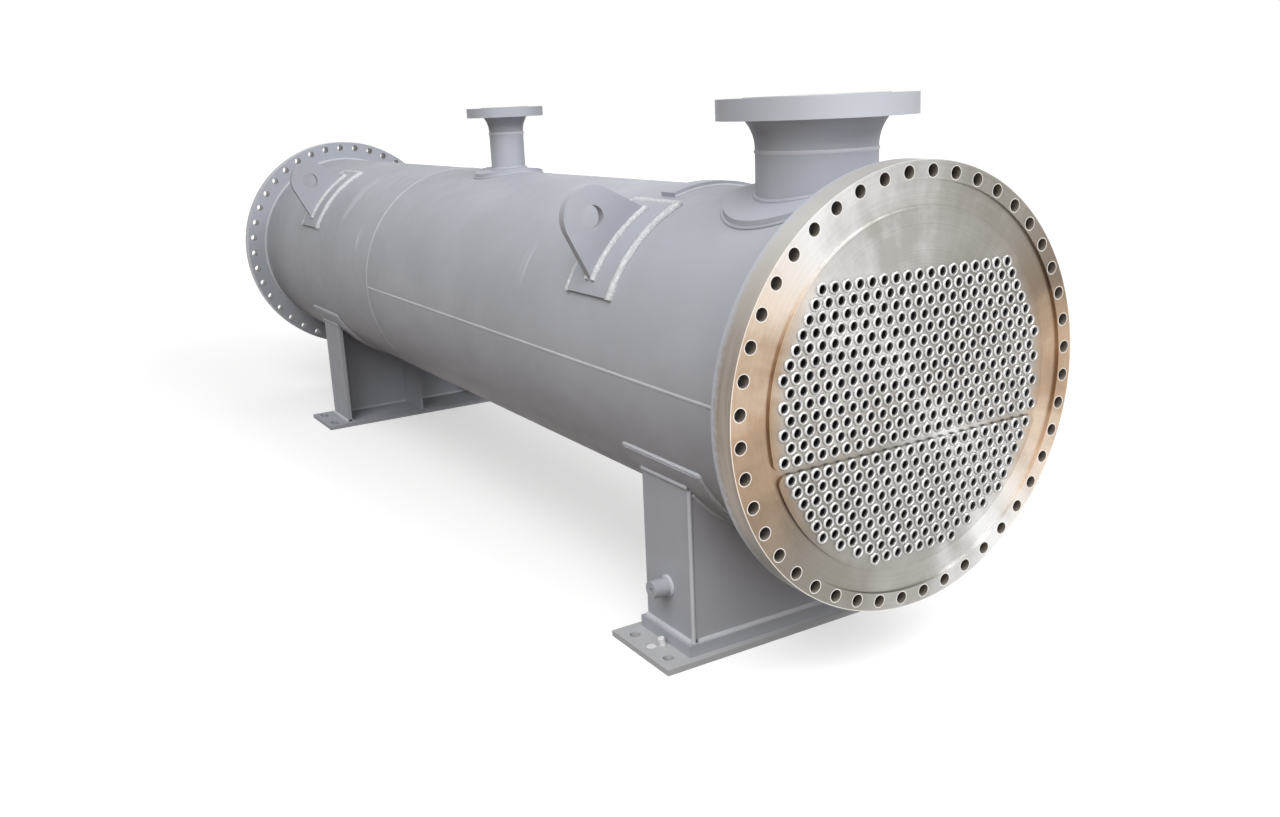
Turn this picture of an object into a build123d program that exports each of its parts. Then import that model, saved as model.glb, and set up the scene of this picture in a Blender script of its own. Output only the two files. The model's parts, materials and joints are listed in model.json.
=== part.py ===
from build123d import *
import os
from math import asin, cos, degrees, radians, sin, sqrt

os.makedirs("parts", exist_ok=True)

# Shell, rolled plate in two courses along X, with the front sheet at +X
shell_od = 800.0
shell_wall = 10.0
shell_length = 3760.0
rear_course_length = 1455.0
axis_height = 680.0

# Tubesheets, measured from the shell's outside and from their own rim
sheet_thickness = 64.0
sheet_overhang = 80.0
front_bolt_inset = 22.5
rear_bolt_inset = 25.0
bolt_hole = 27.0
front_bolt_count = 44
rear_bolt_count = 40
bolt_ring_margin = 4.0
land_margin = 8.0
land_corner = 16.0
groove_depth = 6.0

# Tube field, rows on a triangular pitch with a wider step at the pass lane
tube_od = 25.0
tube_wall = 2.5
tube_ligament = 7.0
tube_stand_out = 6.0
tube_clearance = 0.2
bundle_clearance = 11.0
lane_extra = 8.0
lane_margin = 0.5
rows_above_axis = 9
upper_row_count = 13
lower_row_count = 9

# Large nozzle near the front sheet, a weld-neck flange on a pipe stub
nozzle_projection = 212.0
large_setback = 259.0
large_pipe_od = 273.0
large_pipe_wall = 9.5
large_hub_flare = 24.0
large_neck_length = 117.0
large_flange_thickness = 46.0
large_bolt_offset = 33.2
large_bolt_hole = 28.6
large_bolt_count = 16
large_rim = 28.8
large_face_margin = 17.4
large_pad_margin = 73.5

# Small nozzle at mid length
small_pipe_od = 114.3
small_pipe_wall = 6.0
small_hub_flare = 15.85
small_neck_length = 85.7
small_flange_thickness = 30.2
small_bolt_offset = 27.1
small_bolt_hole = 22.2
small_bolt_count = 8
small_rim = 26.9
small_face_margin = 10.4
small_pad_margin = 56.85

# Sizes that both nozzles share
raised_face = 1.6
hub_land = 6.0
nozzle_clearance = 0.3
nozzle_pad_thickness = 14.0

# Pads under lugs and wear plates on saddles are one plate thickness
pad_thickness = 10.0

# Lifting lugs, one near each end on the left
lug_setback = 680.0
lug_angle = 45.0
lug_thickness = 25.0
lug_head_radius = 78.0
lug_hole_diameter = 60.0
lug_reach = 94.5
lug_base_width = 230.0
lug_pad_margin = 32.0
lug_pad_length = 200.0

# Flat strap bent over the shell's top in the plane of the front lug
strap_thickness = 12.0
strap_width = 60.0
strap_angle = 36.0

# Saddles, set back from the tubesheets' inner faces
front_saddle_setback = 421.0
rear_saddle_setback = 694.0
saddle_angle = 107.2
saddle_length = 200.0
saddle_plate = 14.0
wear_margin_angle = 8.4
wear_overhang = 60.0
wear_offset = 27.0
base_thickness = 30.0
base_margin_x = 10.0
base_margin_y = 15.0
sole_thickness = 15.0
sole_margin_x = 30.0
sole_margin_y = 90.0
anchor_hole = 28.0
anchor_slot_length = 60.0
anchor_edge_x = 53.0
anchor_edge_y = 35.0

# Earthing boss on the front saddle's left end plate
boss_diameter = 44.0
boss_length = 50.0
boss_hole = 12.0
boss_hole_depth = 25.0
boss_height = 160.0

# One overrun for every cut that has to run clear of a face
overrun = 20.0

# Radii and places that follow from the sizes above
shell_radius = shell_od / 2
inner_radius = shell_radius - shell_wall
pad_radius = shell_radius + pad_thickness
half_length = shell_length / 2
weld_x = rear_course_length - half_length
front_face_x = half_length + sheet_thickness
sheet_radius = shell_radius + sheet_overhang
front_bolt_radius = sheet_radius - front_bolt_inset
rear_bolt_radius = sheet_radius - rear_bolt_inset
front_groove_radius = front_bolt_radius - bolt_hole / 2 - bolt_ring_margin
rear_groove_radius = rear_bolt_radius - bolt_hole / 2 - bolt_ring_margin

# Tube rows from the top down, each as long as the bundle's outer limit lets it be
tube_radius = tube_od / 2
tube_pitch = tube_od + tube_ligament
row_step = tube_pitch * sin(radians(60))
lane_step = tube_pitch + lane_extra
tube_limit = inner_radius - bundle_clearance - tube_radius
land_radius = tube_limit + tube_radius + land_margin
last_upper_row = row_step * (rows_above_axis - upper_row_count + 1)
lane_height = last_upper_row - lane_step / 2
lane_width = lane_step - tube_od - 2 * lane_margin


def tubes_in_row(index, height):
    # Rows take turns to have a tube on the middle line and a gap there
    reach = sqrt(tube_limit**2 - height**2)
    if index % 2 == 0:
        return 2 * int(reach / tube_pitch) + 1
    return 2 * int(reach / tube_pitch + 1 / 2)


def tube_rows(first_index, row_count, top_height):
    # Height and tube count of each row that fits inside the bundle's limit
    heights = [(first_index + i, top_height - row_step * i) for i in range(row_count)]
    inside = [(index, height) for index, height in heights if abs(height) < tube_limit]
    return [(height, tubes_in_row(index, height)) for index, height in inside]


upper_rows = tube_rows(0, upper_row_count, row_step * rows_above_axis)
lower_rows = tube_rows(upper_row_count, lower_row_count, last_upper_row - lane_step)


def across(x):
    # Sketch plane square to the shell's axis, with the axis at its origin
    return Plane(origin=(x, 0, axis_height), x_dir=(0, 1, 0), z_dir=(1, 0, 0))


def level(x, z):
    # Level sketch plane at height z, with the point x of the axis at its origin
    return Plane(origin=(x, 0, z), x_dir=(1, 0, 0), z_dir=(0, 0, 1))


def along_y(x, y, z):
    # Upright sketch plane that faces -Y
    return Plane(origin=(x, y, z), x_dir=(1, 0, 0), z_dir=(0, -1, 0))


large_x = half_length - large_setback
small_x = 0
face_height = axis_height + shell_radius + nozzle_projection

# Shell courses, the front one with a hole for each nozzle
with BuildPart() as shell_front_course:
    with BuildSketch(across(weld_x)):
        Circle(shell_radius)
        Circle(inner_radius, mode=Mode.SUBTRACT)
    extrude(amount=half_length - weld_x)
    with BuildSketch(level(large_x, axis_height)):
        Circle(large_pipe_od / 2 + nozzle_clearance)
    extrude(amount=shell_od, mode=Mode.SUBTRACT)
    with BuildSketch(level(small_x, axis_height)):
        Circle(small_pipe_od / 2 + nozzle_clearance)
    extrude(amount=shell_od, mode=Mode.SUBTRACT)
shell_front_course.part.label = "shell_front_course"
export_step(shell_front_course.part, "parts/shell_front_course.step")

with BuildPart() as shell_rear_course:
    with BuildSketch(across(-half_length)):
        Circle(shell_radius)
        Circle(inner_radius, mode=Mode.SUBTRACT)
    extrude(amount=rear_course_length)
shell_rear_course.part.label = "shell_rear_course"
export_step(shell_rear_course.part, "parts/shell_rear_course.step")

# Front tubesheet, a drilled disc with a gasket groove and a lane groove round two lands
with BuildPart() as front_tubesheet:
    with BuildSketch(across(half_length)):
        Circle(sheet_radius)
        with PolarLocations(front_bolt_radius, front_bolt_count, 180 / front_bolt_count):
            Circle(bolt_hole / 2, mode=Mode.SUBTRACT)
        for height, count in upper_rows + lower_rows:
            with Locations((0, height)):
                with GridLocations(tube_pitch, tube_pitch, count, 1):
                    Circle(tube_radius + tube_clearance, mode=Mode.SUBTRACT)
    extrude(amount=sheet_thickness)
    with BuildSketch(across(front_face_x)):
        with BuildSketch(mode=Mode.PRIVATE) as lands:
            Circle(land_radius)
            with Locations((0, lane_height)):
                Rectangle(2 * land_radius, lane_width, mode=Mode.SUBTRACT)
            fillet(lands.vertices(), land_corner)
        Circle(front_groove_radius)
        add(lands.sketch, mode=Mode.SUBTRACT)
    extrude(amount=-groove_depth, mode=Mode.SUBTRACT)
front_tubesheet.part.label = "front_tubesheet"
export_step(front_tubesheet.part, "parts/front_tubesheet.step")

# Rear tubesheet, with the gasket groove alone in its outer face
with BuildPart() as rear_tubesheet:
    with BuildSketch(across(-half_length)):
        Circle(sheet_radius)
        with PolarLocations(rear_bolt_radius, rear_bolt_count):
            Circle(bolt_hole / 2, mode=Mode.SUBTRACT)
        for height, count in upper_rows + lower_rows:
            with Locations((0, height)):
                with GridLocations(tube_pitch, tube_pitch, count, 1):
                    Circle(tube_radius + tube_clearance, mode=Mode.SUBTRACT)
    extrude(amount=-sheet_thickness)
    with BuildSketch(across(-front_face_x)):
        Circle(rear_groove_radius)
        Circle(land_radius, mode=Mode.SUBTRACT)
    extrude(amount=groove_depth, mode=Mode.SUBTRACT)
rear_tubesheet.part.label = "rear_tubesheet"
export_step(rear_tubesheet.part, "parts/rear_tubesheet.step")

# Tubes of the two passes, standing a little out of both sheets
for name, rows in (("upper_pass_tubes", upper_rows), ("lower_pass_tubes", lower_rows)):
    with BuildPart() as pass_tubes:
        with BuildSketch(across(-front_face_x - tube_stand_out)):
            for height, count in rows:
                with Locations((0, height)):
                    with GridLocations(tube_pitch, tube_pitch, count, 1):
                        Circle(tube_radius)
                        Circle(tube_radius - tube_wall, mode=Mode.SUBTRACT)
        extrude(amount=2 * (front_face_x + tube_stand_out))
    pass_tubes.part.label = name
    export_step(pass_tubes.part, f"parts/{name}.step")

# Nozzles: weld-neck flange turned from one profile, pipe stub and reinforcing pad
large_pipe = (large_x, large_pipe_od / 2, large_pipe_wall, large_pad_margin)
large_hub = (large_hub_flare, large_neck_length, large_flange_thickness)
large_drilling = (large_bolt_offset, large_bolt_hole, large_bolt_count, large_rim, large_face_margin)
small_pipe = (small_x, small_pipe_od / 2, small_pipe_wall, small_pad_margin)
small_hub = (small_hub_flare, small_neck_length, small_flange_thickness)
small_drilling = (small_bolt_offset, small_bolt_hole, small_bolt_count, small_rim, small_face_margin)
nozzles = (
    ("large_nozzle", large_pipe, large_hub, large_drilling),
    ("small_nozzle", small_pipe, small_hub, small_drilling),
)

for name, pipe, hub, drilling in nozzles:
    x, pipe_radius, pipe_wall, pad_margin = pipe
    hub_flare, neck_length, flange_thickness = hub
    bolt_offset, flange_bolt_hole, flange_bolt_count, rim, face_margin = drilling
    bore_radius = pipe_radius - pipe_wall
    hub_radius = pipe_radius + hub_flare
    flange_bolt_radius = hub_radius + bolt_offset
    flange_radius = flange_bolt_radius + rim
    face_radius = flange_bolt_radius - flange_bolt_hole / 2 - face_margin
    back = -raised_face - flange_thickness
    with BuildPart() as flange:
        with BuildSketch(along_y(x, 0, face_height)):
            with BuildLine():
                bore_line = Line((bore_radius, -neck_length), (bore_radius, 0))
                face_line = Polyline(bore_line @ 1, (face_radius, 0), (face_radius, -raised_face))
                rim_line = Polyline(face_line @ 1, (flange_radius, -raised_face), (flange_radius, back))
                back_line = Line(rim_line @ 1, (hub_radius, back))
                weld_line = Line(bore_line @ 0, (pipe_radius, -neck_length))
                land_line = Line(weld_line @ 1, (pipe_radius, hub_land - neck_length))
                TangentArc(land_line @ 1, back_line @ 1, tangent=(0, 1))
            make_face()
        revolve(axis=Axis((x, 0, 0), (0, 0, 1)))
        with BuildSketch(level(x, face_height)):
            with PolarLocations(flange_bolt_radius, flange_bolt_count, 180 / flange_bolt_count):
                Circle(flange_bolt_hole / 2)
        extrude(amount=back - overrun, mode=Mode.SUBTRACT)
    flange.part.label = f"{name}_flange"
    export_step(flange.part, f"parts/{name}_flange.step")

    with BuildPart() as neck:
        with BuildSketch(level(x, axis_height)):
            Circle(pipe_radius)
            Circle(bore_radius, mode=Mode.SUBTRACT)
        extrude(amount=face_height - axis_height - neck_length)
        with BuildSketch(across(x)):
            Circle(inner_radius)
        extrude(amount=2 * pipe_radius, both=True, mode=Mode.SUBTRACT)
    neck.part.label = f"{name}_neck"
    export_step(neck.part, f"parts/{name}_neck.step")

    with BuildPart() as pad:
        with BuildSketch(across(x)):
            Circle(shell_radius + nozzle_pad_thickness)
            Circle(shell_radius, mode=Mode.SUBTRACT)
        extrude(amount=2 * (pipe_radius + pad_margin), both=True)
        with BuildSketch(level(x, axis_height)):
            Circle(pipe_radius + pad_margin)
            Circle(pipe_radius + nozzle_clearance, mode=Mode.SUBTRACT)
        extrude(amount=shell_od, mode=Mode.INTERSECT)
    pad.part.label = f"{name}_pad"
    export_step(pad.part, f"parts/{name}_pad.step")

# Lifting lugs: teardrop plates square to the axis, each on a curved pad
lug_x = half_length - lug_setback
lug_pad_arc = 2 * degrees(asin((lug_base_width / 2 + lug_pad_margin) / pad_radius))
sideways = (0, cos(radians(lug_angle)), sin(radians(lug_angle)))

for name, x in (("front_left_lug", lug_x), ("rear_left_lug", -lug_x)):
    lug_plane = Plane(origin=(x, 0, axis_height), x_dir=sideways, z_dir=(1, 0, 0))
    with BuildPart() as lug:
        with BuildSketch(lug_plane):
            with BuildLine():
                CenterArc((0, shell_radius + lug_reach), lug_head_radius, 0, 360)
                Line((-lug_base_width / 2, inner_radius), (lug_base_width / 2, inner_radius))
            make_hull()
            Circle(pad_radius, mode=Mode.SUBTRACT)
            with Locations((0, shell_radius + lug_reach)):
                Circle(lug_hole_diameter / 2, mode=Mode.SUBTRACT)
        extrude(amount=lug_thickness / 2, both=True)
    lug.part.label = name
    export_step(lug.part, f"parts/{name}.step")

    with BuildPart() as lug_pad:
        with BuildSketch(lug_plane):
            with BuildLine():
                CenterArc((0, 0), shell_radius + pad_thickness / 2, 90 - lug_pad_arc / 2, lug_pad_arc)
            trace(line_width=pad_thickness)
        extrude(amount=lug_pad_length / 2, both=True)
    lug_pad.part.label = f"{name}_pad"
    export_step(lug_pad.part, f"parts/{name}_pad.step")

# Strap across the top, seated on the bare shell
with BuildPart() as front_top_strap:
    with BuildSketch(across(lug_x)):
        with BuildLine():
            CenterArc((0, 0), shell_radius + strap_thickness / 2, 90 - strap_angle / 2, strap_angle)
        trace(line_width=strap_thickness)
    extrude(amount=strap_width / 2, both=True)
front_top_strap.part.label = "front_top_strap"
export_step(front_top_strap.part, "parts/front_top_strap.step")

# Saddles: wear plate, web on one side, end plates and a middle rib
front_saddle_x = half_length - front_saddle_setback
rear_saddle_x = rear_saddle_setback - half_length
saddle_width = 2 * pad_radius * sin(radians(saddle_angle / 2))
wear_angle = saddle_angle + 2 * wear_margin_angle
saddles = (
    ("front_saddle", front_saddle_x, 1, sole_thickness + base_thickness),
    ("rear_saddle", rear_saddle_x, -1, sole_thickness),
)

for name, x, web_side, foot_height in saddles:
    plate_height = axis_height - foot_height
    web_x = x + web_side * (saddle_length - saddle_plate) / 2
    rib_x = x - web_side * saddle_plate / 2
    with BuildPart() as wear_plate:
        with BuildSketch(across(x + wear_offset)):
            with BuildLine():
                CenterArc((0, 0), shell_radius + pad_thickness / 2, 270 - wear_angle / 2, wear_angle)
            trace(line_width=pad_thickness)
        extrude(amount=saddle_length / 2 + wear_overhang, both=True)
    wear_plate.part.label = f"{name}_wear_plate"
    export_step(wear_plate.part, f"parts/{name}_wear_plate.step")

    with BuildPart() as web:
        with BuildSketch(across(web_x)):
            with Locations((0, -plate_height / 2)):
                Rectangle(saddle_width - 2 * saddle_plate, plate_height)
            Circle(pad_radius, mode=Mode.SUBTRACT)
        extrude(amount=saddle_plate / 2, both=True)
    web.part.label = f"{name}_web"
    export_step(web.part, f"parts/{name}_web.step")

    for side_name, side in (("left", -1), ("right", 1)):
        with BuildPart() as end_plate:
            with BuildSketch(across(x)):
                with Locations((side * (saddle_width - saddle_plate) / 2, -plate_height / 2)):
                    Rectangle(saddle_plate, plate_height)
                Circle(pad_radius, mode=Mode.SUBTRACT)
            extrude(amount=saddle_length / 2, both=True)
        end_plate.part.label = f"{name}_{side_name}_end_plate"
        export_step(end_plate.part, f"parts/{name}_{side_name}_end_plate.step")

    with BuildPart() as rib:
        with BuildSketch(across(rib_x)):
            with Locations((0, -plate_height / 2)):
                Rectangle(saddle_plate, plate_height)
            Circle(pad_radius, mode=Mode.SUBTRACT)
        extrude(amount=(saddle_length - saddle_plate) / 2, both=True)
    rib.part.label = f"{name}_rib"
    export_step(rib.part, f"parts/{name}_rib.step")

# Front foot: a thick base plate on a longer sole plate with bolt holes at both ends
sole_length = saddle_length + 2 * sole_margin_x
sole_width = saddle_width + 2 * sole_margin_y
anchor_pitch_x = sole_length - 2 * anchor_edge_x
anchor_pitch_y = sole_width - 2 * anchor_edge_y

with BuildPart() as front_base:
    with BuildSketch(level(front_saddle_x, sole_thickness)):
        Rectangle(saddle_length + 2 * base_margin_x, saddle_width + 2 * base_margin_y)
    extrude(amount=base_thickness)
front_base.part.label = "front_saddle_base_plate"
export_step(front_base.part, "parts/front_saddle_base_plate.step")

with BuildPart() as front_sole:
    with BuildSketch(level(front_saddle_x, 0)):
        Rectangle(sole_length, sole_width)
        with GridLocations(anchor_pitch_x / 2, anchor_pitch_y, 3, 2):
            Circle(anchor_hole / 2, mode=Mode.SUBTRACT)
    extrude(amount=sole_thickness)
front_sole.part.label = "front_saddle_sole_plate"
export_step(front_sole.part, "parts/front_saddle_sole_plate.step")

# Rear foot: one plate, slotted so that the shell can grow with heat
with BuildPart() as rear_base:
    with BuildSketch(level(rear_saddle_x, 0)):
        Rectangle(sole_length, sole_width)
        with GridLocations(anchor_pitch_x, anchor_pitch_y, 2, 2):
            SlotOverall(anchor_slot_length, anchor_hole, mode=Mode.SUBTRACT)
    extrude(amount=sole_thickness)
rear_base.part.label = "rear_saddle_base_plate"
export_step(rear_base.part, "parts/rear_saddle_base_plate.step")

# Earthing boss, a round stub with a tapped hole in its end
with BuildPart() as earthing_boss:
    with BuildSketch(along_y(front_saddle_x, -saddle_width / 2, boss_height)):
        Circle(boss_diameter / 2)
    extrude(amount=boss_length)
    with Locations(earthing_boss.faces().sort_by(Axis.Y)[0]):
        Hole(boss_hole / 2, boss_hole_depth)
earthing_boss.part.label = "earthing_boss"
export_step(earthing_boss.part, "parts/earthing_boss.step")
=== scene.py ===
import bpy
import json
from math import asin, atan2, cos, degrees, hypot, pi, radians, sin, sqrt
from mathutils import Matrix, Vector


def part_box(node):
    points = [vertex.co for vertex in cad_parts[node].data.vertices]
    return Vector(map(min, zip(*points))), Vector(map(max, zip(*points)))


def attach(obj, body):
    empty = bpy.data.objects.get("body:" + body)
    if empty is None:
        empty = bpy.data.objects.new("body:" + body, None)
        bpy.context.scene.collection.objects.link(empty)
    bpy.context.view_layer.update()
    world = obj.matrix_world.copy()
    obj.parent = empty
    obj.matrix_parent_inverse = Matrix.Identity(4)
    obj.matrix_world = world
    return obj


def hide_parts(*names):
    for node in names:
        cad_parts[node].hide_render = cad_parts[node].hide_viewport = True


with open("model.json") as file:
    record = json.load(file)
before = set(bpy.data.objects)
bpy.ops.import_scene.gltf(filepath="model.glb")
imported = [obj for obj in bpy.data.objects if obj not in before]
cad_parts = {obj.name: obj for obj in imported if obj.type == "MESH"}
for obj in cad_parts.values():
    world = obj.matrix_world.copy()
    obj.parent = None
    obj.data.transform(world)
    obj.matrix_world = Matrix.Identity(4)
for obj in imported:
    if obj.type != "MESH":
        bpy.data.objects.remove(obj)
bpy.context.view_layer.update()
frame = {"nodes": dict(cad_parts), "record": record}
node = frame["nodes"]
mounts = {mount["name"]: mount for mount in frame["record"]["mounts"]}
bpy.ops.object.select_all(action="DESELECT")

# Shell: two courses of rolled carbon steel plate, butt welded to each other and shot blasted,
# then sprayed with a satin blue-grey coat that also covers nozzles, lugs and saddles.
# Slings and handling have left a few pale scuffs on its left side.
front_low, front_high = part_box("shell_front_course")
rear_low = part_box("shell_rear_course")[0]
axis_z = (front_low.z + front_high.z) / 2
shell_r = (front_high.z - front_low.z) / 2
girth_x = front_low.x
paint_grey = (0.385, 0.405, 0.455, 1)
rubbed_grey = (0.58, 0.60, 0.65, 1)
shop_dust = (0.40, 0.36, 0.32, 1)


def feed(tree, socket, value):
    # A socket takes a link from another socket, or a plain number or colour
    if isinstance(value, bpy.types.NodeSocket):
        tree.links.new(value, socket)
    else:
        socket.default_value = value


def reckon(tree, operation, first, second=0.0):
    # One sum within a material
    step = tree.nodes.new("ShaderNodeMath")
    step.operation = operation
    feed(tree, step.inputs[0], first)
    feed(tree, step.inputs[1], second)
    return step.outputs["Value"]


def spread(tree, value, low, high, low_out=0.0, high_out=1.0):
    # Value brought from one range to another and held at its ends
    step = tree.nodes.new("ShaderNodeMapRange")
    step.interpolation_type = "SMOOTHSTEP"
    feed(tree, step.inputs["Value"], value)
    step.inputs["From Min"].default_value = low
    step.inputs["From Max"].default_value = high
    step.inputs["To Min"].default_value = low_out
    step.inputs["To Max"].default_value = high_out
    return step.outputs["Result"]


def mottle(tree, place, scale, detail, roughness=0.5):
    # Irregular cloud between 0 and 1
    step = tree.nodes.new("ShaderNodeTexNoise")
    feed(tree, step.inputs["Vector"], place)
    step.inputs["Scale"].default_value = scale
    step.inputs["Detail"].default_value = detail
    step.inputs["Roughness"].default_value = roughness
    return step.outputs["Fac"]


def over(tree, share, under, upper):
    # One colour laid over another
    step = tree.nodes.new("ShaderNodeMix")
    step.data_type = "RGBA"
    feed(tree, step.inputs["Factor"], share)
    feed(tree, step.inputs["A"], under)
    feed(tree, step.inputs["B"], upper)
    return step.outputs["Result"]


def tinted(tree, colour, amount):
    # A colour made darker or lighter by a value
    step = tree.nodes.new("ShaderNodeVectorMath")
    step.operation = "SCALE"
    feed(tree, step.inputs[0], colour)
    feed(tree, step.inputs["Scale"], amount)
    return step.outputs["Vector"]


def stretched(tree, place, scale):
    # Coordinates squeezed along each axis, for streaks
    step = tree.nodes.new("ShaderNodeMapping")
    tree.links.new(place, step.inputs["Vector"])
    step.inputs["Scale"].default_value = scale
    return step.outputs["Vector"]


def spot(tree):
    # Place of a point of the surface
    return tree.nodes.new("ShaderNodeTexCoord").outputs["Object"]


def split(tree, vector):
    # The three parts of a place or a direction
    step = tree.nodes.new("ShaderNodeSeparateXYZ")
    tree.links.new(vector, step.inputs["Vector"])
    return step.outputs["X"], step.outputs["Y"], step.outputs["Z"]


def roughen(tree, height, strength, depth):
    # Fine relief on the surface
    relief = tree.nodes.new("ShaderNodeBump")
    relief.inputs["Strength"].default_value = strength
    relief.inputs["Distance"].default_value = depth
    tree.links.new(height, relief.inputs["Height"])
    tree.links.new(relief.outputs["Normal"], tree.nodes["Principled BSDF"].inputs["Normal"])


def new_finish(name):
    # An empty material, its node tree and the sockets of its shader
    made = bpy.data.materials.new(name)
    made.use_nodes = True
    return made, made.node_tree, made.node_tree.nodes["Principled BSDF"].inputs


# One coat effect for all painted pieces: cloudy spray, fine orange peel, rubbed spots and dust
coat = bpy.data.node_groups.new("sprayed_coat", "ShaderNodeTree")
for name, kind in (("Paint", "Color"), ("Rubbed", "Color"), ("Dust", "Color"), ("Dust Amount", "Float")):
    coat.interface.new_socket(name, in_out="INPUT", socket_type="NodeSocket" + kind)
for name, kind in (("Color", "Color"), ("Roughness", "Float"), ("Height", "Float")):
    coat.interface.new_socket(name, in_out="OUTPUT", socket_type="NodeSocket" + kind)
coat_in = coat.nodes.new("NodeGroupInput").outputs
coat_out = coat.nodes.new("NodeGroupOutput").inputs
coat_place = spot(coat)
cloud = spread(coat, mottle(coat, coat_place, scale=3.0, detail=5.0), 0.3, 0.7, 0.93, 1.05)
grain = mottle(coat, coat_place, scale=22.0, detail=7.0)
peel = mottle(coat, coat_place, scale=420.0, detail=2.0)
rub = spread(coat, mottle(coat, coat_place, scale=9.0, detail=9.0, roughness=0.72), 0.69, 0.77, 0.0, 0.5)
sprayed = tinted(coat, coat_in["Paint"], cloud)
worn = over(coat, rub, sprayed, coat_in["Rubbed"])
dusty = reckon(coat, "MULTIPLY", grain, coat_in["Dust Amount"])
coat.links.new(over(coat, dusty, worn, coat_in["Dust"]), coat_out["Color"])
coat.links.new(spread(coat, grain, 0.2, 0.8, 0.4, 0.56), coat_out["Roughness"])
coat.links.new(peel, coat_out["Height"])

coat_gloss = 0.12
peel_depth = 0.0006
scuff_squeeze = 3.0
scuff_core_share = 0.2
scuff_streaks = (120.0, 7.0, 7.0)


def painted(name, paint, rubbed, dust_amount, peel_strength, scuffs=()):
    # A sprayed steel surface in one colour, with scuffs of a given reach at given places
    made, tree, shader = new_finish(name)
    effect = tree.nodes.new("ShaderNodeGroup")
    effect.node_tree = coat
    effect.inputs["Paint"].default_value = paint
    effect.inputs["Rubbed"].default_value = rubbed
    effect.inputs["Dust"].default_value = shop_dust
    effect.inputs["Dust Amount"].default_value = dust_amount
    colour = effect.outputs["Color"]
    for (x, y, z), reach in scuffs:
        place = spot(tree)
        near = tree.nodes.new("ShaderNodeVectorMath")
        near.operation = "DISTANCE"
        tree.links.new(stretched(tree, place, (scuff_squeeze, 1.0, 1.0)), near.inputs[0])
        near.inputs[1].default_value = (scuff_squeeze * x, y, z)
        patch = spread(tree, near.outputs["Value"], scuff_core_share * reach, reach, 1.0, 0.0)
        lines = mottle(tree, stretched(tree, place, scuff_streaks), scale=1.0, detail=4.0, roughness=0.6)
        marks = reckon(tree, "MULTIPLY", patch, spread(tree, lines, 0.42, 0.62, 0.1, 0.75))
        colour = over(tree, marks, colour, rubbed)
    shader["Specular IOR Level"].default_value = coat_gloss
    tree.links.new(colour, shader["Base Color"])
    tree.links.new(effect.outputs["Roughness"], shader["Roughness"])
    if peel_strength:
        roughen(tree, effect.outputs["Height"], peel_strength, peel_depth)
    return made


def on_shell(x, turn, r):
    # A point about the shell's axis, its turn in degrees from the top towards -Y
    return (x, -r * sin(radians(turn)), axis_z + r * cos(radians(turn)))


def dress(name, material):
    # Give a solid of the frame its finish
    node[name].data.materials.clear()
    node[name].data.materials.append(material)


sling_scuffs = (
    (on_shell(-0.83, 44, shell_r), 0.17),
    (on_shell(-0.58, 66, shell_r), 0.07),
    (on_shell(0.81, 60, shell_r), 0.09),
)
grey_coat = painted("grey_coat", paint_grey, rubbed_grey, 0.16, 0.07)
shell_coat = painted("shell_coat", paint_grey, rubbed_grey, 0.2, 0.07, sling_scuffs)
dress("shell_front_course", shell_coat)
dress("shell_rear_course", shell_coat)

# Welds of the shell: the girth seam between the courses, the long seam of the front course
# and the fillets to both sheets, laid by machine in small scales and painted over.
# The weld coat is paler than the shell's: partly thin paint over the bead, partly a painted highlight on
# its ridges
weld_paint_and_sheen_grey = (0.53, 0.545, 0.585, 1)
weld_rubbed = (0.74, 0.75, 0.78, 1)
smooth_weld = painted("smooth_weld", weld_paint_and_sheen_grey, weld_rubbed, 0.05, 0.4)
scale_step = 0.005
seam_bead = 0.008
seam_r = shell_r - 0.0058
seam_turn = 90
fillet_gap = 0.001


def pick(piece):
    # Select one piece and nothing else
    bpy.ops.object.select_all(action="DESELECT")
    bpy.context.view_layer.objects.active = piece
    piece.select_set(True)


def lay_weld(name, runs, bead, closed=False, finish=smooth_weld, ripple=0.03):
    # Bead of round section along each run of points, its scales as high as the ripple
    path = bpy.data.curves.new(name, "CURVE")
    path.dimensions = "3D"
    path.bevel_depth = bead
    path.bevel_resolution = 1
    path.use_fill_caps = True
    for run in runs:
        spline = path.splines.new("POLY")
        spline.points.add(len(run) - 1)
        spline.use_cyclic_u = closed
        for k, place in enumerate(run):
            wander = 0.6 * sin(0.37 * k) + 0.4 * sin(1.3 * k)
            spline.points[k].co = (*place, 1)
            spline.points[k].radius = 1 + ripple * (k % 2 + wander)
    weld = bpy.data.objects.new(name, path)
    bpy.context.scene.collection.objects.link(weld)
    pick(weld)
    bpy.ops.object.convert(target="MESH")
    bpy.ops.object.shade_smooth()
    weld.data.materials.clear()
    weld.data.materials.append(finish)
    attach(weld, "root")


def round_shell(x, r, start, end):
    # Points on a circle about the shell's axis, between two turns
    steps = max(2, int(r * radians(abs(end - start)) / scale_step))
    return [on_shell(x, start + (end - start) * k / steps, r) for k in range(steps + 1)]


def whole_round(x, r):
    # Points all round the shell's axis, for a closed bead
    return round_shell(x, r, 0, 360)[:-1]


def straight(start, end):
    # Points along a straight run
    steps = max(2, int((Vector(end) - Vector(start)).length / scale_step))
    return [tuple(Vector(start).lerp(Vector(end), k / steps)) for k in range(steps + 1)]


seam_start = on_shell(girth_x, seam_turn, seam_r)
seam_end = on_shell(front_high.x, seam_turn, seam_r)
front_fillet = whole_round(front_high.x - fillet_gap, shell_r + fillet_gap)
rear_fillet = whole_round(rear_low.x + fillet_gap, shell_r + fillet_gap)
lay_weld("girth_weld", [whole_round(girth_x, seam_r)], seam_bead, True)
lay_weld("long_seam_weld", [straight(seam_start, seam_end)], seam_bead)
lay_weld("front_sheet_weld", [front_fillet], seam_bead, True)
lay_weld("rear_sheet_weld", [rear_fillet], seam_bead, True)
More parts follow.
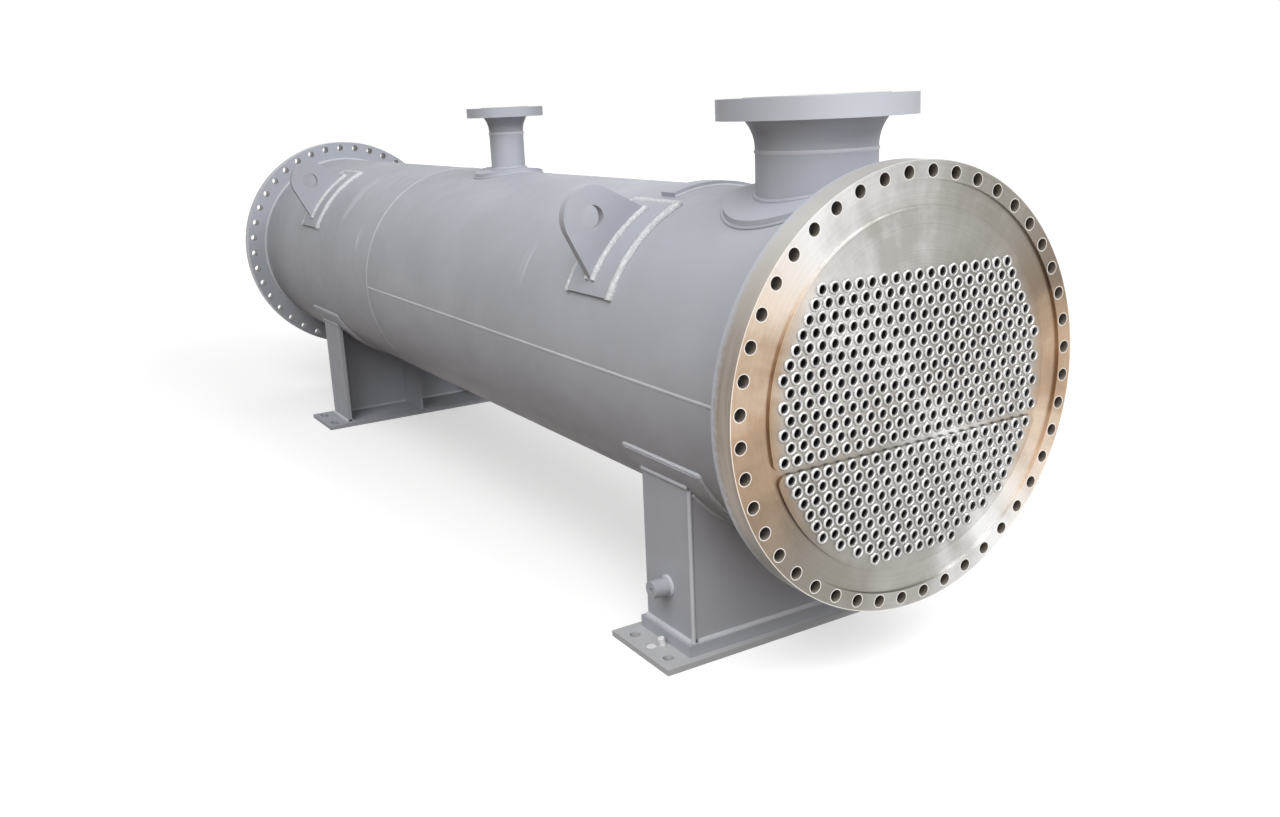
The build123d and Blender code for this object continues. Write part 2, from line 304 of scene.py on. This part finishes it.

# Tubesheets: thick stainless discs, faced on a lathe, then drilled for tubes and bolts.
# Their outer faces stay bare, with painted fans of sheen and a painted warm reflection. The spray
# gun reached the sides that look at the shell, the back of the front rim and nearly all of the rear rim.
sheet_low, sheet_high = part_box("front_tubesheet")
sheet_r = (sheet_high.z - sheet_low.z) / 2
face_x = sheet_high.x
land_r = 0.387
land_edge = 0.002
mm = 0.001
hole_tolerance = 0.0005
steel_sheen_tones = ((0.23, 0.217, 0.192, 1), (0.35, 0.342, 0.322, 1), (0.66, 0.662, 0.665, 1))
warm_reflection_tones = ((0.145, 0.108, 0.078, 1), (0.31, 0.215, 0.138, 1), (0.54, 0.44, 0.345, 1))
rim_brown = (0.20, 0.17, 0.142, 1)
rim_tan = (0.27, 0.235, 0.2, 1)
rim_top_grey = (0.42, 0.405, 0.38, 1)
hole_edge_highlight = (0.80, 0.79, 0.77, 1)
rim_corner_highlight = (0.84, 0.82, 0.78, 1)
hole_mouth = (0.30, 0.26, 0.22, 1)
hole_painted_shade = (0.035, 0.03, 0.026, 1)


def bolt_phase(sheet, count, outer_r):
    # Turn of a sheet's first bolt hole, read from the outermost corners of the hole walls
    corners = [v.co for v in node[sheet].data.vertices]
    outer = [p for p in corners if abs(hypot(p.y, p.z - axis_z) - outer_r) < hole_tolerance]
    turns = [count * atan2(p.z - axis_z, p.y) for p in outer]
    return atan2(sum(sin(t) for t in turns), sum(cos(t) for t in turns)) / count


def span(tree, first, second):
    # Length of the slope over two sides
    first_sq = reckon(tree, "MULTIPLY", first, first)
    second_sq = reckon(tree, "MULTIPLY", second, second)
    return reckon(tree, "SQRT", reckon(tree, "ADD", first_sq, second_sq))


def sheet_finish(name, spray_start, spray_end):
    # Turned stainless with bolt holes and overspray, and with sheen, reflection, highlights and hole shade
    # painted into its colour
    bolts = mounts[name + "_bolts"]["dims"]
    count = bolts["count"]
    bolt_r = bolts["pcd_mm"] * mm / 2
    hole_r = bolts["hole_r_mm"] * mm
    made, tree, shader = new_finish(name)
    place = spot(tree)
    along, side, height = split(tree, place)
    depth = reckon(tree, "SUBTRACT", face_x, reckon(tree, "ABSOLUTE", along))
    up = reckon(tree, "SUBTRACT", height, axis_z)
    side_sq = reckon(tree, "MULTIPLY", side, side)
    up_sq = reckon(tree, "MULTIPLY", up, up)
    r_sq = reckon(tree, "ADD", side_sq, up_sq)
    r = reckon(tree, "SQRT", r_sq)

    # Painted reflection: bright fans of sheen to upper left and lower right, a warm reflection to left and
    # right
    stain = mottle(tree, place, scale=6.0, detail=6.0, roughness=0.6)
    cross = reckon(tree, "DIVIDE", reckon(tree, "MULTIPLY", side, up), r_sq)
    fan = reckon(tree, "MULTIPLY", cross, spread(tree, r, land_r - land_edge, land_r, 0.3, 0.6))
    out_way = tree.nodes.new("ShaderNodeCombineXYZ")
    tree.links.new(reckon(tree, "DIVIDE", side, r), out_way.inputs["X"])
    tree.links.new(reckon(tree, "DIVIDE", up, r), out_way.inputs["Y"])
    ray_noise = mottle(tree, out_way.outputs["Vector"], scale=5.0, detail=4.0, roughness=0.55)
    rays = spread(tree, ray_noise, 0.3, 0.7, -0.09, 0.09)
    flare = spread(tree, cross, -0.28, -0.49, 0.0, 0.2)
    gloom = spread(tree, cross, 0.22, 0.47, 0.0, 0.22)
    gain = reckon(tree, "ADD", spread(tree, stain, 0.3, 0.7, 0.34, 0.66), flare)
    lit = reckon(tree, "SUBTRACT", gain, reckon(tree, "ADD", gloom, fan))
    sheen = reckon(tree, "ADD", lit, rays)
    spin = reckon(tree, "DIVIDE", reckon(tree, "SUBTRACT", side_sq, up_sq), r_sq)
    warm_reflection = spread(tree, spin, -0.5, 0.8, 0.05, 0.95)
    warm_reflection_share = reckon(tree, "MULTIPLY", warm_reflection, spread(tree, r, land_r - 0.04, land_r, 0.25, 1.0))
    faces = []
    for dark, middle, light in (steel_sheen_tones, warm_reflection_tones):
        ramp = tree.nodes.new("ShaderNodeValToRGB")
        ramp.color_ramp.elements[0].color = dark
        ramp.color_ramp.elements[1].color = light
        ramp.color_ramp.elements.new(0.5).color = middle
        tree.links.new(sheen, ramp.inputs["Fac"])
        faces.append(ramp.outputs["Color"])
    face = over(tree, warm_reflection_share, *faces)

    # Fine turning lines, a slightly darker tube field, a darker foot and painted light that lifts the right
    # side
    ring_place = tree.nodes.new("ShaderNodeCombineXYZ")
    tree.links.new(r, ring_place.inputs["X"])
    rings = mottle(tree, ring_place.outputs["Vector"], scale=260.0, detail=6.0, roughness=0.7)
    tone = spread(tree, r, land_r - land_edge, land_r, 0.95, 1.0)
    tone = reckon(tree, "MULTIPLY", tone, spread(tree, up, -0.45, 0.1, 0.86, 1.0))
    # Painted light: the right side is made lighter
    tone = reckon(tree, "MULTIPLY", tone, spread(tree, side, 0.05, 0.4, 1.0, 1.15))
    tone = reckon(tree, "MULTIPLY", tone, spread(tree, rings, 0.3, 0.7, 0.88, 1.08))
    face = tinted(tree, face, tone)

    # Rim: brown smears on the flanks, lighter and less metallic grey towards the top
    on_rim = spread(tree, r, sheet_r - 0.0012, sheet_r - 0.0006, 0.0, 0.85)
    rim = reckon(tree, "MULTIPLY", on_rim, spread(tree, depth, 0.001, 0.003))
    smears = mottle(tree, stretched(tree, place, (60.0, 5.0, 5.0)), scale=1.0, detail=4.0)
    brown = over(tree, spread(tree, smears, 0.35, 0.65), rim_brown, rim_tan)
    rim_top = spread(tree, up, 0.0, 0.4)
    rim_top_share = reckon(tree, "MULTIPLY", rim, rim_top)
    face = over(tree, rim, face, over(tree, rim_top, brown, rim_top_grey))

    # Painted highlights: a bright line round each bolt hole and at the rim's corner, where the chamfers
    # catch light
    step_turn = 2 * pi / count
    phase = bolt_phase(name.replace("sheet", "tubesheet"), count, bolt_r + hole_r)
    turn = reckon(tree, "ARCTAN2", up, side)
    wrap = tree.nodes.new("ShaderNodeMath")
    wrap.operation = "WRAP"
    feed(tree, wrap.inputs[0], reckon(tree, "SUBTRACT", turn, phase))
    wrap.inputs[1].default_value = step_turn / 2
    wrap.inputs[2].default_value = -step_turn / 2
    off_turn = wrap.outputs["Value"]
    off_side = reckon(tree, "MULTIPLY", r, reckon(tree, "SINE", off_turn))
    off_out = reckon(tree, "MULTIPLY", r, reckon(tree, "COSINE", off_turn))
    off = span(tree, off_side, reckon(tree, "SUBTRACT", off_out, bolt_r))
    face = over(tree, spread(tree, off, hole_r + 0.0012, hole_r + 0.0022, 0.75, 0.0), face, hole_edge_highlight)
    near_rim = spread(tree, r, sheet_r - 0.0022, sheet_r - 0.0012, 0.0, 0.5)
    corner = reckon(tree, "MULTIPLY", near_rim, spread(tree, depth, 0.0006, 0.0012, 1.0, 0.0))
    face = over(tree, corner, face, rim_corner_highlight)

    # Overspray fades from the shell's side across the rim, and painted shade darkens the hole walls inwards
    ragged = spread(tree, mottle(tree, place, scale=60.0, detail=6.0), 0.3, 0.7, -0.004, 0.004)
    spray = spread(tree, reckon(tree, "ADD", depth, ragged), spray_start, spray_end)
    face = over(tree, spray, face, paint_grey)
    hole = spread(tree, off, hole_r + 0.0001, hole_r + 0.0004, 1.0, 0.0)
    shaded_hole_wall = over(tree, spread(tree, depth, 0.0, 0.03), hole_mouth, hole_painted_shade)
    tree.links.new(over(tree, hole, face, shaded_hole_wall), shader["Base Color"])
    bare = reckon(tree, "SUBTRACT", 1.0, spray)
    bare = reckon(tree, "MULTIPLY", bare, spread(tree, hole, 0.0, 1.0, 1.0, 0.3))
    bare = reckon(tree, "MULTIPLY", bare, reckon(tree, "SUBTRACT", 1.0, rim_top_share))
    tree.links.new(bare, shader["Metallic"])
    tree.links.new(spread(tree, rings, 0.2, 0.8, 0.28, 0.46), shader["Roughness"])
    shader["Anisotropic"].default_value = 0.5
    lay = tree.nodes.new("ShaderNodeTangent")
    lay.direction_type = "RADIAL"
    lay.axis = "X"
    tree.links.new(lay.outputs["Tangent"], shader["Tangent"])
    roughen(tree, rings, 0.12, 0.0004)
    return made


dress("front_tubesheet", sheet_finish("front_sheet", 0.04, 0.068))
dress("rear_tubesheet", sheet_finish("rear_sheet", 0.004, 0.012))

# Tubes: drawn stainless tube, rolled into both sheets, with a bright weld round each end
# where it stands out of the face. They are shown as one smooth piece a pass.
tube_low, tube_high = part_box("upper_pass_tubes")
lower_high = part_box("lower_pass_tubes")[1]
upper_counts = (17, 18, 19, 20, 21, 22, 23, 22, 23, 22, 23, 22, 23)
lower_counts = (22, 21, 20, 19, 18, 17, 14, 11, 8)
radius_share = 12.5 / 32
pitch = (tube_high.y - tube_low.y) / (max(upper_counts) - 1 + 2 * radius_share)
tube_r = pitch * radius_share
row_step = pitch * sin(radians(60))
weld_toe = (face_x - 0.001, tube_r * 1.24)
weld_crown = (tube_high.x, tube_r * 0.92)
bore_mouth = (face_x + 0.0012, tube_r * 0.72)
tube_sides = 12
merge_reach = 0.00005
dull_steel = (0.36, 0.352, 0.34, 1)
bright_steel = (0.52, 0.515, 0.505, 1)
bore_painted_shade = (0.012, 0.011, 0.01, 1)

tube_steel, tree, shader = new_finish("tube_steel")
place = spot(tree)
depth = reckon(tree, "SUBTRACT", face_x, reckon(tree, "ABSOLUTE", split(tree, place)[0]))
blotch = mottle(tree, place, scale=38.0, detail=4.0, roughness=0.6)
scales = mottle(tree, place, scale=300.0, detail=3.0)
end_metal = over(tree, spread(tree, blotch, 0.35, 0.65), dull_steel, bright_steel)
end_metal = tinted(tree, end_metal, spread(tree, scales, 0.3, 0.7, 0.9, 1.05))
# Painted shade: the bore wall turns near black and less metallic a few millimetres inside the mouth
inside = spread(tree, depth, -0.004, 0.005)
tree.links.new(over(tree, inside, end_metal, bore_painted_shade), shader["Base Color"])
tree.links.new(spread(tree, inside, 0.0, 1.0, 0.75, 0.1), shader["Metallic"])
tree.links.new(spread(tree, scales, 0.2, 0.8, 0.24, 0.42), shader["Roughness"])
roughen(tree, scales, 0.35, 0.0008)


def tube_pass(name, cad_name, counts, top_row):
    # One tube is turned from its profile, set out in rows, and the rows are joined
    front_line = [weld_toe, weld_crown, bore_mouth]
    line = front_line + [(-x, r) for x, r in reversed(front_line)]
    corners = [(x, 0, r) for x, r in line]
    edges = [(k, (k + 1) % len(line)) for k in range(len(line))]
    rows = []
    for i, count in enumerate(counts):
        mesh = bpy.data.meshes.new(name)
        mesh.from_pydata(corners, edges, [])
        tube = bpy.data.objects.new(name, mesh)
        bpy.context.scene.collection.objects.link(tube)
        pick(tube)
        bpy.ops.object.mode_set(mode="EDIT")
        bpy.ops.mesh.select_all(action="SELECT")
        bpy.ops.mesh.spin(steps=tube_sides, angle=2 * pi, center=(0, 0, 0), axis=(1, 0, 0))
        bpy.ops.mesh.select_all(action="SELECT")
        bpy.ops.mesh.remove_doubles(threshold=merge_reach)
        bpy.ops.mesh.normals_make_consistent(inside=False)
        bpy.ops.object.mode_set(mode="OBJECT")
        repeat = tube.modifiers.new("row", "ARRAY")
        repeat.count = count
        repeat.use_relative_offset = False
        repeat.use_constant_offset = True
        repeat.constant_offset_displace = (0, pitch, 0)
        bpy.ops.object.modifier_apply(modifier="row")
        row_place = (0, -pitch * (count - 1) / 2, top_row - row_step * i)
        tube.data.transform(Matrix.Translation(row_place))
        bpy.ops.object.shade_smooth()
        rows.append(tube)
    pick(rows[0])
    for row in rows:
        row.select_set(True)
    bpy.ops.object.join()
    rows[0].name = name
    rows[0].data.materials.append(tube_steel)
    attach(rows[0], "root")
    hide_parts(cad_name)


tube_pass("upper_tubes", "upper_pass_tubes", upper_counts, tube_high.z - tube_r)
tube_pass("lower_tubes", "lower_pass_tubes", lower_counts, lower_high.z - tube_r)

# Nozzles: weld-neck flanges butt welded to pipe stubs, which pass through a round pad into the shell.
# All is sprayed but the raised gasket face, which is left as turned, its fine grooves painted as rings of
# light and shade.
groove_pitch = 0.0016
serration_painted_shade = (0.34, 0.33, 0.31, 1)
serration_painted_light = (0.55, 0.54, 0.52, 1)
butt_bead = 0.0085
butt_sink = 0.006
neck_bead = 0.0065
neck_gap = 0.001
pad_bead = 0.0045
pad_gap = 0.002


def flange_coat(name):
    # Grey coat that stops at the bare raised face on top
    flange_low, flange_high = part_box(name + "_flange")
    made = painted(name + "_coat", paint_grey, rubbed_grey, 0.16, 0.12)
    tree = made.node_tree
    shader = tree.nodes["Principled BSDF"].inputs
    along, side, height = split(tree, spot(tree))
    r = span(tree, reckon(tree, "SUBTRACT", along, (flange_low.x + flange_high.x) / 2), side)
    bare = spread(tree, height, flange_high.z - 0.0008, flange_high.z - 0.0004)
    # Painted light and shade: rings of darker and lighter colour stand in for the fine grooves' relief
    groove = reckon(tree, "SINE", reckon(tree, "MULTIPLY", r, 2 * pi / groove_pitch))
    metal = over(tree, spread(tree, groove, -1.0, 1.0), serration_painted_shade, serration_painted_light)
    under = shader["Base Color"].links[0].from_socket
    tree.links.new(over(tree, bare, under, metal), shader["Base Color"])
    tree.links.new(bare, shader["Metallic"])
    return made


def skin_r(name):
    # Radius of a rolled plate's outer skin about the shell's axis
    return max(hypot(v.co.y, v.co.z - axis_z) for v in node[name].data.vertices)


def nozzle(name):
    # Butt weld under the hub, fillet on the pad and fillet round the pad's edge
    flange_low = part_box(name + "_flange")[0]
    neck_low, neck_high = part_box(name + "_neck")
    pad_low, pad_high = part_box(name + "_pad")
    dress(name + "_flange", flange_coat(name))
    dress(name + "_neck", grey_coat)
    dress(name + "_pad", grey_coat)
    x = (neck_low.x + neck_high.x) / 2
    pipe_r = (neck_high.x - neck_low.x) / 2
    pad_r = (pad_high.x - pad_low.x) / 2

    def ring(r, drum_r):
        # Points where a standing pipe meets a lying drum
        steps = int(2 * pi * r / scale_step)
        turns = [2 * pi * k / steps for k in range(steps)]
        return [(x + r * cos(t), r * sin(t), axis_z + sqrt(drum_r ** 2 - (r * sin(t)) ** 2)) for t in turns]

    butt = [(px, py, flange_low.z) for px, py, _ in ring(pipe_r - butt_sink, shell_r)]
    neck_fillet = ring(pipe_r + neck_gap, skin_r(name + "_pad"))
    pad_fillet = ring(pad_r + pad_gap, shell_r + fillet_gap)
    lay_weld(name + "_butt_weld", [butt], butt_bead, True)
    lay_weld(name + "_fillet_weld", [neck_fillet], neck_bead, True, grey_coat)
    lay_weld(name + "_pad_weld", [pad_fillet], pad_bead, True, grey_coat)


nozzle("large_nozzle")
nozzle("small_nozzle")

# Lifting lugs: flame-cut plates standing on rolled pads on the left of the shell. A hand-laid
# fillet runs along each face of the foot, and another over the top and down both sides of the pad.
lug_bead = 0.009
lug_gap = 0.002
lug_ripple = 0.1
lug_pad_bead = 0.0105
patch_gap = 0.002
patch_lift = 0.0025
patch_ripple = 0.08
skin_tolerance = 0.0015
# The hand weld coat is paler than the shell's: partly thin paint over the bead, partly a painted highlight
# on its scales
hand_weld_paint_and_sheen_grey = (0.55, 0.562, 0.59, 1)
hand_rubbed = (0.80, 0.81, 0.83, 1)
weld_glint = (0.86, 0.87, 0.89, 1)

hand_weld = painted("hand_weld", hand_weld_paint_and_sheen_grey, hand_rubbed, 0.05, 0)
tree = hand_weld.node_tree
shader = tree.nodes["Principled BSDF"].inputs
flecks = mottle(tree, spot(tree), scale=170.0, detail=4.0, roughness=0.65)
under = shader["Base Color"].links[0].from_socket
glints = spread(tree, flecks, 0.5, 0.66, 0.0, 0.75)
tree.links.new(over(tree, glints, under, weld_glint), shader["Base Color"])
roughen(tree, flecks, 0.9, 0.003)


def turns_at(name, r):
    # Lowest and highest turn of a solid's corners that lie at radius r about the shell's axis
    turns = []
    for v in node[name].data.vertices:
        if abs(hypot(v.co.y, v.co.z - axis_z) - r) < skin_tolerance:
            turns.append(degrees(atan2(-v.co.y, v.co.z - axis_z)) % 360)
    return min(turns), max(turns)


def patch_weld(name, plate, bead, finish, lower_end):
    # Fillet round a rolled plate that lies on the shell, with or without a run along its lower end
    low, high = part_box(plate)
    start, end = turns_at(plate, shell_r)
    start -= degrees(patch_gap / shell_r)
    end += degrees(patch_gap / shell_r)
    r = shell_r + patch_lift
    rear_x = low.x - patch_gap
    fore_x = high.x + patch_gap
    path = round_shell(fore_x, r, end, start)
    path += straight(on_shell(fore_x, start, r), on_shell(rear_x, start, r))[1:]
    path += round_shell(rear_x, r, start, end)[1:]
    if lower_end:
        path += straight(on_shell(rear_x, end, r), on_shell(fore_x, end, r))[1:-1]
    lay_weld(name, [path], bead, lower_end, finish, patch_ripple)


for end in ("front", "rear"):
    lug = end + "_left_lug"
    dress(lug, grey_coat)
    dress(lug + "_pad", grey_coat)
    lug_low, lug_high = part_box(lug)
    pad_r = skin_r(lug + "_pad")
    foot_start, foot_end = turns_at(lug, pad_r)
    foot_sides = (lug_low.x - lug_gap, lug_high.x + lug_gap)
    foot_runs = [round_shell(x, pad_r + lug_gap, foot_start, foot_end) for x in foot_sides]
    lay_weld(lug + "_weld", foot_runs, lug_bead, False, hand_weld, lug_ripple)
    patch_weld(lug + "_pad_weld", lug + "_pad", lug_pad_bead, hand_weld, False)

# Strap: a flat steel bar bent over the top of the shell beside the front lug and sprayed grey.
# A thin fillet runs along both of its edges.
strap_bead = 0.004
dress("front_top_strap", grey_coat)
strap_low, strap_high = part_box("front_top_strap")
strap_half = degrees(asin(strap_high.y / (strap_high.z - axis_z)))
strap_edges = (strap_low.x, strap_high.x)
strap_runs = [round_shell(x, shell_r + fillet_gap, -strap_half, strap_half) for x in strap_edges]
lay_weld("front_top_strap_weld", strap_runs, strap_bead)

# Saddles: welded plate stools with a rolled wear plate, a web on one face, a rib and two end plates,
# bolted down through the foot. Fillets run along every joint and are painted over.
wear_bead = 0.0055
top_bead = 0.006
base_bead = 0.009
corner_bead = 0.006
top_gap = 0.002
corner_gap = 0.004
corner_inset = 0.005
flush_sink = 0.002


def under_drum(r, y, drop):
    # Height of a point that hangs a little below a lying drum
    return axis_z - sqrt(r ** 2 - y ** 2) - drop


for end in ("front", "rear"):
    saddle = end + "_saddle_"
    for part in ("wear_plate", "web", "left_end_plate", "right_end_plate", "rib", "base_plate"):
        dress(saddle + part, grey_coat)
    patch_weld(saddle + "wear_plate_weld", saddle + "wear_plate", wear_bead, smooth_weld, True)
    wear_r = skin_r(saddle + "wear_plate")
    web_low, web_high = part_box(saddle + "web")
    foot_z = web_low.z
    web_turn = degrees(asin(web_high.y / wear_r))
    flush_x, back_x = (web_high.x, web_low.x) if end == "front" else (web_low.x, web_high.x)
    corner_x = flush_x + (flush_sink if back_x > flush_x else -flush_sink)
    top_runs = []
    base_runs = []
    corner_runs = []
    for x in (web_low.x, web_high.x):
        top_runs.append(round_shell(x, wear_r + top_gap, 180 - web_turn, 180 + web_turn))
        base_runs.append(straight((x, web_low.y, foot_z), (x, web_high.y, foot_z)))
    for side in ("left", "right"):
        plate_low, plate_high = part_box(f"{saddle}{side}_end_plate")
        for y in (plate_low.y, plate_high.y):
            top_z = under_drum(wear_r, y, top_gap)
            top_runs.append(straight((plate_low.x, y, top_z), (plate_high.x, y, top_z)))
            base_runs.append(straight((plate_low.x, y, foot_z), (plate_high.x, y, foot_z)))
        outer_y = plate_low.y + corner_inset if side == "left" else plate_high.y - corner_inset
        inner_y = plate_high.y if side == "left" else plate_low.y
        for x, y in ((corner_x, outer_y), (back_x, inner_y)):
            corner_runs.append(straight((x, y, foot_z), (x, y, under_drum(wear_r, y, corner_gap))))
    lay_weld(saddle + "top_weld", top_runs, top_bead)
    lay_weld(saddle + "base_weld", base_runs, base_bead)
    lay_weld(saddle + "corner_weld", corner_runs, corner_bead)

# Sole plate: a loose plate under the front saddle with three holes at each end. A bare stud end
# stands by the middle hole on the left, which is filled.
sole_low, sole_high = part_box("front_saddle_sole_plate")
base_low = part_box("front_saddle_base_plate")[0]
middle_x = (sole_low.x + sole_high.x) / 2
plug_r = 0.0138
plug_inset = 0.035
plug_sink = 0.002
stud_r = 0.0085
stud_height = 0.02
stud_sink = 0.001
stud_ahead = 0.012
stud_aside = 0.014
stud_lean = 14
chamfer_share = 0.22
chamfer_rise_share = 0.16
# Painted light: the sole plate's coat is the grey paint made paler, as its top faces up into the light
sole_lit_coat = painted("sole_lit_coat", (0.48, 0.49, 0.51, 1), (0.62, 0.62, 0.63, 1), 0.2, 0.2)
pale_zinc = painted("pale_zinc", (0.74, 0.74, 0.75, 1), (0.9, 0.9, 0.9, 1), 0.12, 0.4)
dress("front_saddle_sole_plate", sole_lit_coat)


def foot_stud(name, x, y, bottom, top, radius, lean):
    # Short round bar, sawn off, with a chamfered top
    bpy.ops.object.select_all(action="DESELECT")
    height = top - bottom
    middle = (0, 0, height / 2)
    bpy.ops.mesh.primitive_cylinder_add(vertices=20, radius=radius, depth=height, location=middle)
    stud = bpy.context.object
    stud.name = name
    bpy.ops.object.transform_apply(location=True, rotation=True, scale=True)
    bpy.ops.object.mode_set(mode="EDIT")
    bpy.ops.mesh.select_all(action="DESELECT")
    bpy.ops.object.mode_set(mode="OBJECT")
    for polygon in stud.data.polygons:
        polygon.select = polygon.normal.z > 0.9
    bpy.ops.object.mode_set(mode="EDIT")
    bpy.ops.mesh.inset(thickness=radius * chamfer_share, depth=radius * chamfer_rise_share)
    bpy.ops.object.mode_set(mode="OBJECT")
    stud.data.transform(Matrix.Translation((x, y, bottom)) @ Matrix.Rotation(radians(lean), 4, "X"))
    bpy.ops.object.shade_smooth_by_angle(angle=radians(35))
    stud.data.materials.append(pale_zinc)
    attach(stud, "root")


plug_y = sole_low.y + plug_inset
stud_x = middle_x + stud_ahead
stud_y = base_low.y - stud_aside
stud_foot = sole_high.z - stud_sink
foot_stud("foot_hole_plug", middle_x, plug_y, plug_sink, sole_high.z - plug_sink, plug_r, 0)
foot_stud("foot_stud_end", stud_x, stud_y, stud_foot, sole_high.z + stud_height, stud_r, stud_lean)

# Earthing boss: a turned steel stub on the left end plate of the front saddle, drilled in its
# end. A fillet runs round its foot, and the grey coat covers both.
boss_bead = 0.0055
boss_sink = 0.001
dress("earthing_boss", grey_coat)
boss_low, boss_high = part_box("earthing_boss")
boss_r = (boss_high.x - boss_low.x) / 2
boss_x = (boss_low.x + boss_high.x) / 2
boss_y = boss_high.y - boss_sink
boss_z = (boss_low.z + boss_high.z) / 2
boss_steps = int(2 * pi * boss_r / scale_step)
boss_turns = [2 * pi * k / boss_steps for k in range(boss_steps)]
boss_ring = [(boss_x + boss_r * cos(t), boss_y, boss_z + boss_r * sin(t)) for t in boss_turns]
lay_weld("earthing_boss_weld", [boss_ring], boss_bead, True)

# Floor: a wide sheet that looks white, keeps the shadow and throws a little warm light back up.
# It glows a little more far away, so that it meets the white room without an edge.
white = (1, 1, 1, 1)
floor_seen = (0.72, 0.72, 0.72, 1)
floor_bounce = (0.10, 0.058, 0.03, 1)
floor_size = 80
glow_start = 2.2
glow_end = 7.0


def looked_at(tree):
    # 1 for rays from the camera, also by way of metal and glass, and 0 for rays that only light
    path = tree.nodes.new("ShaderNodeLightPath")
    seen = reckon(tree, "MAXIMUM", path.outputs["Is Camera Ray"], path.outputs["Is Glossy Ray"])
    return reckon(tree, "MAXIMUM", seen, path.outputs["Is Transmission Ray"])


bpy.ops.object.select_all(action="DESELECT")
bpy.ops.mesh.primitive_plane_add(size=floor_size, location=(0, 0, 0))
floor = bpy.context.object
floor.name = "floor"
pale, tree, shader = new_finish("pale_floor")
seen = looked_at(tree)
reach = tree.nodes.new("ShaderNodeVectorMath")
reach.operation = "LENGTH"
tree.links.new(spot(tree), reach.inputs[0])
lift = spread(tree, reach.outputs["Value"], glow_start, glow_end, 0.42, 0.85)
tree.links.new(over(tree, seen, floor_bounce, floor_seen), shader["Base Color"])
tree.links.new(reckon(tree, "MULTIPLY", seen, lift), shader["Emission Strength"])
shader["Emission Color"].default_value = white
shader["Roughness"].default_value = 1.0
shader["Specular IOR Level"].default_value = 0.0
floor.data.materials.append(pale)

# Light: a white room, brighter overhead and warm near the floor. A broad lamp stands high on
# the front left, a smaller one high on the front right, and a low one ahead lights the front sheet.
warm_white = (1.0, 0.88, 0.76, 1)
lamp_aim = Vector((1.0, 0.0, axis_z))
# Each lamp: name, watts, width, distance and the way from the aim to it
lamps = (
    ("key", 235, 3.2, 6.0, (0.72, 0.32, 0.61)),
    ("fill", 455, 7.0, 7.5, (0.42, -0.58, 0.70)),
    ("front", 36, 1.9, 4.0, (0.95, -0.26, 0.15)),
)
world = bpy.data.worlds.new("studio")
bpy.context.scene.world = world
world.use_nodes = True
tree = world.node_tree
room = tree.nodes["Background"].inputs
seen = looked_at(tree)
rise = split(tree, tree.nodes.new("ShaderNodeTexCoord").outputs["Generated"])[2]
overhead = spread(tree, rise, 0.05, 1.0, 0.1, 0.62)
cool = reckon(tree, "MAXIMUM", spread(tree, rise, 0.0, 0.5), seen)
tree.links.new(reckon(tree, "MAXIMUM", overhead, seen), room["Strength"])
tree.links.new(over(tree, cool, warm_white, white), room["Color"])
for name, power, width, distance, way in lamps:
    bpy.ops.object.light_add(type="AREA", location=lamp_aim + distance * Vector(way).normalized())
    lamp = bpy.context.object
    lamp.name = name
    lamp.data.shape = "DISK"
    lamp.data.energy = power
    lamp.data.size = width
    lamp.rotation_euler = Vector(way).to_track_quat("Z", "Y").to_euler()

# Camera: stands to the left of the front sheet, at about the height of the nozzle faces, and looks
# back along the shell. Its place, turn and lens come from the bolt circles of both sheets.
camera_place = (3.6506, -1.6882, 1.2990)
camera_right = Vector((0.5196, 0.8534, -0.0421)).normalized()
camera_back = Vector((0.8305, -0.4928, 0.2597)).normalized()
camera_up = camera_back.cross(camera_right).normalized()
camera_turn = Matrix((camera_right, camera_up, camera_back)).transposed().to_4x4()
camera_data = bpy.data.cameras.new("camera")
camera_data.sensor_width = 36
camera_data.lens = 32.34
camera_data.clip_end = 200
camera = bpy.data.objects.new("camera", camera_data)
bpy.context.scene.collection.objects.link(camera)
camera.matrix_world = Matrix.Translation(camera_place) @ camera_turn
bpy.context.scene.camera = camera
bpy.context.scene.view_settings.view_transform = "Standard"
